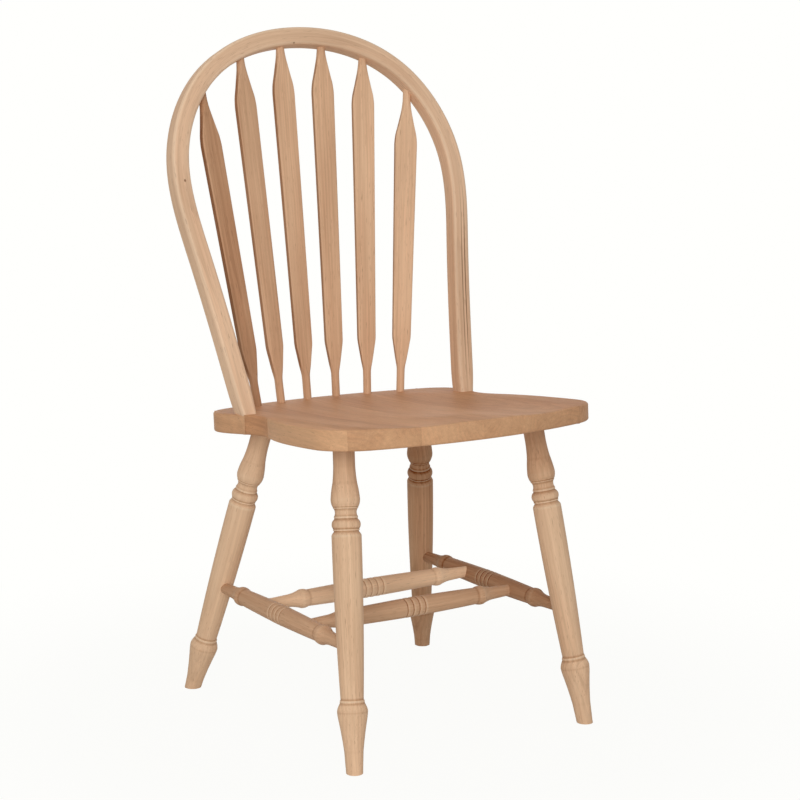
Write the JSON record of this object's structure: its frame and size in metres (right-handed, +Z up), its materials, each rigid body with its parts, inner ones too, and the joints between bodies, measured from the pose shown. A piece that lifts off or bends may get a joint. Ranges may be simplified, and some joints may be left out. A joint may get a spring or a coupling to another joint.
{
  "type": "windsor chair",
  "caption": "Bow back wooden side chair with arrow spindles, saddled seat, turned splayed legs and a double H stretcher.",
  "frame": {"origin": "on the floor, at the middle of the bounding box seen from above", "axes": "+Z up, +Y towards the back, +X to the sitter's left when seated facing -Y, which is right in a front view"},
  "size_m": [0.4906, 0.5192, 0.9699],
  "materials": {
    "seat": "bare sanded hardwood, matte",
    "legs": "bare sanded hardwood, matte",
    "stretchers": "bare sanded hardwood, matte",
    "bow": "bare sanded hardwood, matte",
    "spindles": "bare sanded hardwood, matte"
  },
  "bodies": {
    "root": {"leg_front_left": "legs", "leg_front_right": "legs", "leg_rear_left": "legs", "leg_rear_right": "legs", "stretcher_side_left": "stretchers", "stretcher_side_right": "stretchers", "stretcher_cross_front": "stretchers", "stretcher_cross_rear": "stretchers", "seat_board_left_front": "seat", "seat_board_left_rear": "seat", "seat_board_1": "seat", "seat_board_2": "seat", "seat_board_3": "seat", "seat_board_4": "seat", "seat_board_5": "seat", "bow": "bow", "spindle_inner_left": "spindles", "spindle_middle_left": "spindles", "spindle_outer_left": "spindles", "spindle_inner_right": "spindles", "spindle_middle_right": "spindles", "spindle_outer_right": "spindles"}
  },
  "joints": []
}
